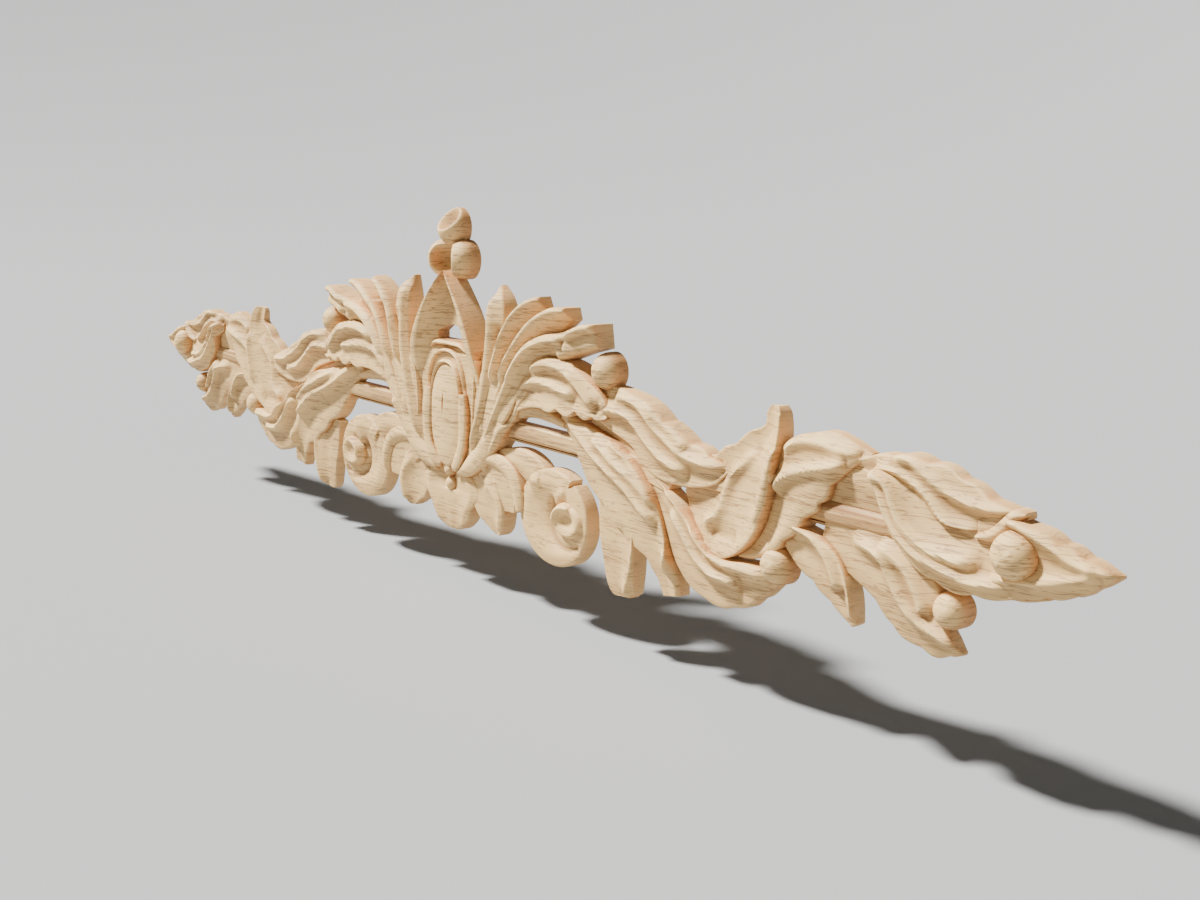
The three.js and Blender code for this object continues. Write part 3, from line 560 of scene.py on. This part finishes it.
def carve_rod(sizes):
    """The moulded rod with its ledge, straight through behind the leaves."""
    wide, deep = drawn_scale(sizes)
    half = ROD_HALF * wide
    section = [(height * deep or -SURPLUS * MM, z * wide) for z, height in ROD_SECTION]
    turn = Matrix(((0, 0, 1, -half), (-1, 0, 0, 0), (0, 1, 0, 0), (0, 0, 0, 1)))
    return bar_object("rod", section, 2 * half, turn)


def cutting_tool(name, outline, floor, sizes):
    """A tool of this outline that cuts from the front down to a height of floor above the back."""
    wide, deep = drawn_scale(sizes)
    turn = Matrix(((1, 0, 0, 0), (0, 0, 1, -2 * sizes.relief), (0, 1, 0, 0), (0, 0, 0, 1)))
    points = [(x * wide, z * wide) for x, z in outline]
    return bar_object(name, points, 2 * sizes.relief - floor * deep, turn)


def mirrored(obj, name):
    """A copy of the object turned over about the middle of the crown."""
    bm = bmesh.new()
    bm.from_mesh(obj.data)
    bmesh.ops.scale(bm, vec=(-1, 1, 1), verts=bm.verts)
    return solid_object(name, bm)


def combined(base, tools, operation):
    """The base joined with, or cut by, each tool; the tools are used up."""
    for tool in tools:
        cut = base.modifiers.new(tool.name, "BOOLEAN")
        cut.operation = operation
        cut.solver = "MANIFOLD"
        cut.object = tool
    bpy.context.view_layer.update()
    mesh = bpy.data.meshes.new_from_object(base.evaluated_get(bpy.context.evaluated_depsgraph_get()))
    name = base.name
    for used in [base, *tools]:
        bpy.data.objects.remove(used)
    obj = bpy.data.objects.new(name, mesh)
    bpy.context.scene.collection.objects.link(obj)
    return obj


def slab_behind(sizes):
    """The waste behind the back face, its front divided so that the planed back is too."""
    bm = bmesh.new()
    cells = round(sizes.length / WASTE_CELL)
    bmesh.ops.create_grid(bm, x_segments=cells, y_segments=cells, size=sizes.length * WASTE_REACH,
                          matrix=Matrix.Rotation(math.pi / 2, 4, "X"))
    back_up(bm, WASTE_DEPTH)
    return solid_object("waste", bm)


def value_node(tree, kind, place, **sockets):
    """A node at a place, with values for its named inputs, a blank in a name as an underscore."""
    node = tree.nodes.new(kind)
    node.location = place
    for name, value in sockets.items():
        node.inputs[name.replace("_", " ")].default_value = value
    return node


def math_node(tree, place, operation, source, second=None):
    """The outcome of a sum on a socket, with a second socket or plain value."""
    node = tree.nodes.new("ShaderNodeMath")
    node.operation = operation
    node.location = place
    tree.links.new(source, node.inputs[0])
    if isinstance(second, bpy.types.NodeSocket):
        tree.links.new(second, node.inputs[1])
    elif second is not None:
        node.inputs[1].default_value = second
    return node.outputs[0]


def ramp(tree, place, source, start, end, top=1.0):
    """A mask that rises from 0 at start to top at end of the source's values."""
    node = value_node(tree, "ShaderNodeMapRange", place, From_Min=start, From_Max=end, To_Max=top)
    tree.links.new(source, node.inputs["Value"])
    return node.outputs[0]


def stretched_noise(tree, place, source, stretch, **sockets):
    """A noise over coordinates scaled apart along the three axes, and the node that scales them."""
    mapping = value_node(tree, "ShaderNodeMapping", place, Scale=stretch)
    noise = value_node(tree, "ShaderNodeTexNoise", (place[0] + 200, place[1]), **sockets)
    tree.links.new(source, mapping.inputs["Vector"])
    tree.links.new(mapping.outputs[0], noise.inputs["Vector"])
    return noise.outputs["Fac"], mapping


# Growth lines: slope across the board in degrees, and cycles a metre along it and into it. A line
# lies where the noise passes its middle value, fades out between two distances from it, and grows
# stronger between two values of the broad tone.
GRAIN_SLOPE = 2.0
LINES_ALONG = 20.0
LINES_INTO = 60.0
LINE_MIDDLE = 0.5
LINE_REACH = (0.03, 0.004)
LINE_SHOWS = (0.28, 0.50)
# Waviness of the lines: cycles a metre and metres of drift
DRIFT_SCALE = 60.0
DRIFT_REACH = 0.0022
# Broad tone and flecks: cycles a metre, how they stretch, and the values between which flecks show
TONE_SCALE = 22.0
TONE_STRETCH = (0.35, 1.0, 3.5)
FLECK_STRETCH = (300.0, 700.0, 1900.0)
FLECK_SHOWS = (0.62, 0.74)


def grain_group():
    """Growth lines and flecks that run along the board, as masks."""
    tree = bpy.data.node_groups.new("Board grain", "ShaderNodeTree")
    for name, value in (("Lines", 500.0), ("Waviness", 1.0)):
        tree.interface.new_socket(name, in_out="INPUT", socket_type="NodeSocketFloat").default_value = value
    for name in ("Streaks", "Broad tone", "Flecks"):
        tree.interface.new_socket(name, in_out="OUTPUT", socket_type="NodeSocketFloat")
    start = tree.nodes.new("NodeGroupInput")
    end = tree.nodes.new("NodeGroupOutput")
    end.location = (500, 0)
    coords = value_node(tree, "ShaderNodeTexCoord", (-1200, 0))
    drift = value_node(tree, "ShaderNodeTexNoise", (-1000, -200), Scale=DRIFT_SCALE, Detail=4.0)
    bend = value_node(tree, "ShaderNodeVectorMath", (-800, -200))
    bend.operation = "SCALE"
    amount = math_node(tree, (-1000, -420), "MULTIPLY", start.outputs["Waviness"], DRIFT_REACH)
    tree.links.new(coords.outputs["Object"], drift.inputs["Vector"])
    tree.links.new(drift.outputs["Color"], bend.inputs[0])
    tree.links.new(amount, bend.inputs["Scale"])
    moved = value_node(tree, "ShaderNodeVectorMath", (-600, 0))
    tree.links.new(coords.outputs["Object"], moved.inputs[0])
    tree.links.new(bend.outputs[0], moved.inputs[1])
    tilt = value_node(tree, "ShaderNodeMapping", (-600, 200), Rotation=(0, math.radians(GRAIN_SLOPE), 0))
    tree.links.new(moved.outputs[0], tilt.inputs["Vector"])
    stretch = value_node(tree, "ShaderNodeCombineXYZ", (-600, -250), X=LINES_ALONG, Y=LINES_INTO)
    tree.links.new(start.outputs["Lines"], stretch.inputs["Z"])
    lines, mapping = stretched_noise(tree, (-400, 0), tilt.outputs[0], (1.0, 1.0, 1.0), Scale=1.0,
                                     Detail=3.0, Roughness=0.6)
    tree.links.new(stretch.outputs[0], mapping.inputs["Scale"])
    tone, _ = stretched_noise(tree, (-400, -300), moved.outputs[0], TONE_STRETCH, Scale=TONE_SCALE,
                              Detail=3.0)
    flecks, _ = stretched_noise(tree, (-400, -560), moved.outputs[0], FLECK_STRETCH, Scale=1.0, Detail=1.0)
    from_middle = math_node(tree, (-100, 0), "SUBTRACT", lines, LINE_MIDDLE)
    apart = math_node(tree, (0, 0), "ABSOLUTE", from_middle)
    line = ramp(tree, (100, 0), apart, *LINE_REACH)
    shows = ramp(tree, (100, -160), tone, *LINE_SHOWS)
    tree.links.new(math_node(tree, (300, 0), "MULTIPLY", line, shows), end.inputs["Streaks"])
    tree.links.new(tone, end.inputs["Broad tone"])
    tree.links.new(ramp(tree, (0, -560), flecks, *FLECK_SHOWS), end.inputs["Flecks"])
    return tree


def mixed(tree, place, factor, first, second):
    """A colour mix: factor and colours are sockets or plain values."""
    mix = tree.nodes.new("ShaderNodeMix")
    mix.data_type = "RGBA"
    mix.location = place
    for socket, source in ((mix.inputs[0], factor), (mix.inputs[6], first), (mix.inputs[7], second)):
        if isinstance(source, bpy.types.NodeSocket):
            tree.links.new(source, socket)
        else:
            socket.default_value = source
    return mix.outputs[2]


# Where each colour of the wood shows: start, end and greatest share of a mask. Walls go by the
# slope, the back by its facing, the painted shade at the foot of a wall by its depth in metres,
# and the painted shade in hollows and the painted highlight on crests by how sharply the surface bends.
WALL = (0.62, 0.12)
NOT_BACK = (0.9, 0.5)
FOOT_SHADE = (-0.0085, -0.002, 0.38)
TONED = (0.35, 0.75, 0.35)
HOLLOW_SHADE = (0.495, 0.44, 0.9)
CREST_HIGHLIGHT = (0.515, 0.58, 0.5)
STREAK_SHARE = 0.72
FLECK_SHARE = 0.6
SHEEN = 0.3
BUMP_STRENGTH = 0.25
BUMP_DISTANCE = 0.00025


def beech_material(look):
    """Bare beech: pale faces, warmer cut walls, growth lines along the board, painted shade in hollows and
    near the back, and a painted highlight on crests.
    """
    material = bpy.data.materials.new("Bare beech")
    material.use_nodes = True
    tree = material.node_tree
    shader = tree.nodes["Principled BSDF"]
    shader.inputs["Roughness"].default_value = look.roughness
    shader.inputs["Specular IOR Level"].default_value = SHEEN
    grain = tree.nodes.new("ShaderNodeGroup")
    grain.node_tree = grain_group()
    grain.location = (-900, 0)
    shape = value_node(tree, "ShaderNodeNewGeometry", (-1100, -400))
    facing = value_node(tree, "ShaderNodeSeparateXYZ", (-900, -400))
    tree.links.new(shape.outputs["Normal"], facing.inputs[0])
    place = value_node(tree, "ShaderNodeTexCoord", (-900, -700))
    depth = value_node(tree, "ShaderNodeSeparateXYZ", (-700, -700))
    tree.links.new(place.outputs["Object"], depth.inputs[0])
    flat = math_node(tree, (-800, -300), "ABSOLUTE", facing.outputs["Y"])
    steep = ramp(tree, (-700, -400), flat, *WALL)
    front = ramp(tree, (-700, -520), facing.outputs["Y"], *NOT_BACK)
    # Painted shade: the nearer a forward face lies to the back of the relief, the more it turns to the
    # recess colour
    low = ramp(tree, (-500, -700), depth.outputs["Y"], *FOOT_SHADE)
    tone = ramp(tree, (-700, 200), grain.outputs["Broad tone"], *TONED)
    streaks = math_node(tree, (-500, 300), "MULTIPLY", grain.outputs["Streaks"], STREAK_SHARE)
    flecks = math_node(tree, (-300, 300), "MULTIPLY", grain.outputs["Flecks"], FLECK_SHARE)
    # Painted shade near the back of the relief, kept off the back face
    foot = math_node(tree, (-300, -700), "MULTIPLY", low, front)
    # Painted shade in hollows, where the surface bends inwards
    hollow_shade = ramp(tree, (100, 500), shape.outputs["Pointiness"], *HOLLOW_SHADE)
    # Painted highlight on crests, where the surface bends outwards
    crest = ramp(tree, (300, 500), shape.outputs["Pointiness"], *CREST_HIGHLIGHT)
    wood = mixed(tree, (-500, 0), steep, tuple(look.face), tuple(look.wall))
    # The last three layers paint shade at the foot of the walls and in hollows, and a highlight on crests
    layers = ((tone, look.streak), (streaks, look.streak), (flecks, look.fleck), (foot, look.recess_shade),
              (hollow_shade, look.recess_shade), (crest, look.crest))
    for step, (mask, colour) in enumerate(layers):
        wood = mixed(tree, (200 * step - 300, 0), mask, wood, tuple(colour))
    tree.links.new(wood, shader.inputs["Base Color"])
    bump = value_node(tree, "ShaderNodeBump", (100, -300), Strength=BUMP_STRENGTH, Distance=BUMP_DISTANCE)
    tree.links.new(grain.outputs["Streaks"], bump.inputs["Height"])
    tree.links.new(bump.outputs[0], shader.inputs["Normal"])
    return material


class CarveApplique(bpy.types.Operator):
    """Carves the whole applique from one board and puts it in place of its measured solid"""
    bl_idname = "applique.carve"
    bl_label = "Carve the applique"

    def execute(self, context):
        sizes = context.scene.applique_carving
        half = [carve_leaf(name, leaf, sizes) for name, leaf in LEAVES.items()]
        half += [carve_boss(name, boss, sizes) for name, boss in BOSSES.items()]
        half += [carve_berry("berry_%d" % k, berry, sizes) for k, berry in enumerate(BERRIES)]
        middle = [carve_leaf(name, leaf, sizes) for name, leaf in MIDDLE_LEAVES.items()]
        middle += [carve_boss(name, boss, sizes) for name, boss in MIDDLE_BOSSES.items()]
        middle += [carve_berry("middle_berry_%d" % k, berry, sizes)
                   for k, berry in enumerate(MIDDLE_BERRIES)]
        right = combined(half[0], half[1:], "UNION")
        right = combined(right, [cutting_tool("notch", NOTCH, THROUGH, sizes)], "DIFFERENCE")
        left = mirrored(right, "left_half")
        whole = combined(carve_rod(sizes), [right, left, *middle], "UNION")
        cuts = [cutting_tool("piercing", PIERCING, THROUGH, sizes),
                cutting_tool("slit", SLIT, SLIT_FLOOR, sizes), slab_behind(sizes)]
        carving = combined(whole, cuts, "DIFFERENCE")
        carving.name = carving.data.name = "applique_carving"
        carving.data.polygons.foreach_set("use_smooth", [True] * len(carving.data.polygons))
        carving.data.set_sharp_from_angle(angle=sizes.crease)
        carving.data.materials.clear()
        carving.data.materials.append(beech_material(context.scene.applique_beech))
        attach(carving, "root")
        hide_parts(NODE)
        return {"FINISHED"}


# Camera of the photograph's viewing angle, in metres and radians about the applique's origin
CAMERA_PLACE = Vector((0.4977, -0.3049, 0.0910))
CAMERA_TURN = math.radians(53.16)
CAMERA_TILT = math.radians(10.50)
CAMERA_ROLL = math.radians(0.89)
CAMERA_LENS = 45.0
CAMERA_SENSOR = 36.0
CAMERA_NEAR = 0.01
# The floor lies below the piece, is flat near it and curls up far from it
FLOOR_DROP = 0.02
FLOOR_CELLS = 48
FLOOR_HALF = 6.0
FLOOR_FLAT = 1.6
FLOOR_CURL = 0.10
FLOOR_ROUGHNESS = 0.9
ROOM_COLOUR = (0.9, 0.93, 0.95, 1)
ROOM_STRENGTH = 0.06
# Lights: name, where they shine from, how wide they look, and share of the key light's strength
LIGHTS = (("key", Vector((-1.24, -1.0, 2.04)), math.radians(7), 1.0),
          ("fill", Vector((1.2, -0.7, 0.4)), math.radians(40), 0.008))


def stage_floor(look):
    """The pale floor, with a matt finish."""
    bm = bmesh.new()
    bmesh.ops.create_grid(bm, x_segments=FLOOR_CELLS, y_segments=FLOOR_CELLS, size=FLOOR_HALF)
    for vert in bm.verts:
        far = max(0, math.hypot(vert.co.x, vert.co.y) - FLOOR_FLAT)
        vert.co.z = CAD_LOW.z - FLOOR_DROP + FLOOR_CURL * far * far
    floor = solid_object("floor", bm)
    floor.data.polygons.foreach_set("use_smooth", [True] * len(floor.data.polygons))
    paint = bpy.data.materials.new("Pale floor")
    paint.use_nodes = True
    shader = paint.node_tree.nodes["Principled BSDF"]
    shader.inputs["Base Color"].default_value = look.floor
    shader.inputs["Roughness"].default_value = FLOOR_ROUGHNESS
    floor.data.materials.append(paint)


def stage_room(scene):
    """The faint light of a pale room."""
    world = bpy.data.worlds.new("Pale room")
    world.use_nodes = True
    background = world.node_tree.nodes["Background"]
    background.inputs["Color"].default_value = ROOM_COLOUR
    background.inputs["Strength"].default_value = ROOM_STRENGTH
    scene.world = world


def stage_light(scene, name, place, angle, power):
    """A distant lamp that shines from a place towards the piece."""
    lamp = bpy.data.lights.new(name, "SUN")
    lamp.energy = power
    lamp.angle = angle
    light = bpy.data.objects.new(name, lamp)
    light.location = place
    light.rotation_mode = "QUATERNION"
    light.rotation_quaternion = (-place).to_track_quat("-Z", "Y")
    scene.collection.objects.link(light)


def stage_camera(scene):
    """The camera at the photograph's viewing angle."""
    camera = bpy.data.objects.new("camera", bpy.data.cameras.new("camera"))
    camera.data.lens = CAMERA_LENS
    camera.data.sensor_width = CAMERA_SENSOR
    camera.data.clip_start = CAMERA_NEAR
    turn = (Matrix.Rotation(CAMERA_TURN, 4, "Z") @ Matrix.Rotation(math.pi / 2 - CAMERA_TILT, 4, "X")
            @ Matrix.Rotation(CAMERA_ROLL, 4, "Z"))
    camera.matrix_world = Matrix.Translation(CAMERA_PLACE) @ turn
    scene.collection.objects.link(camera)
    scene.camera = camera


class SetStage(bpy.types.Operator):
    """Sets the pale floor, the soft lights and the camera"""
    bl_idname = "applique.stage"
    bl_label = "Set the stage"

    def execute(self, context):
        look = context.scene.applique_stage
        stage_floor(look)
        stage_room(context.scene)
        for name, place, angle, share in LIGHTS:
            stage_light(context.scene, name, place, angle, look.key * share)
        stage_camera(context.scene)
        return {"FINISHED"}


class AppliquePanel(bpy.types.Panel):
    """Sizes, colours and steps of the applique"""
    bl_idname = "VIEW3D_PT_applique"
    bl_label = "Applique"
    bl_space_type = "VIEW_3D"
    bl_region_type = "UI"
    bl_category = "Applique"

    def draw(self, context):
        for group in ("applique_carving", "applique_beech", "applique_stage"):
            settings = getattr(context.scene, group)
            for name in settings.__annotations__:
                self.layout.prop(settings, name)
        self.layout.operator(CarveApplique.bl_idname)
        self.layout.operator(SetStage.bl_idname)


CLASSES = (CarvingSizes, BeechLook, StageLook, CarveApplique, SetStage, AppliquePanel)


def register():
    """Adds the classes and their settings."""
    for cls in CLASSES:
        bpy.utils.register_class(cls)
    bpy.types.Scene.applique_carving = PointerProperty(type=CarvingSizes)
    bpy.types.Scene.applique_beech = PointerProperty(type=BeechLook)
    bpy.types.Scene.applique_stage = PointerProperty(type=StageLook)


def unregister():
    """Removes the classes and their settings."""
    del bpy.types.Scene.applique_carving
    del bpy.types.Scene.applique_beech
    del bpy.types.Scene.applique_stage
    for cls in reversed(CLASSES):
        bpy.utils.unregister_class(cls)


def main():
    """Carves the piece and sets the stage."""
    register()
    bpy.ops.applique.carve()
    bpy.ops.applique.stage()


if __name__ == "__main__":
    main()
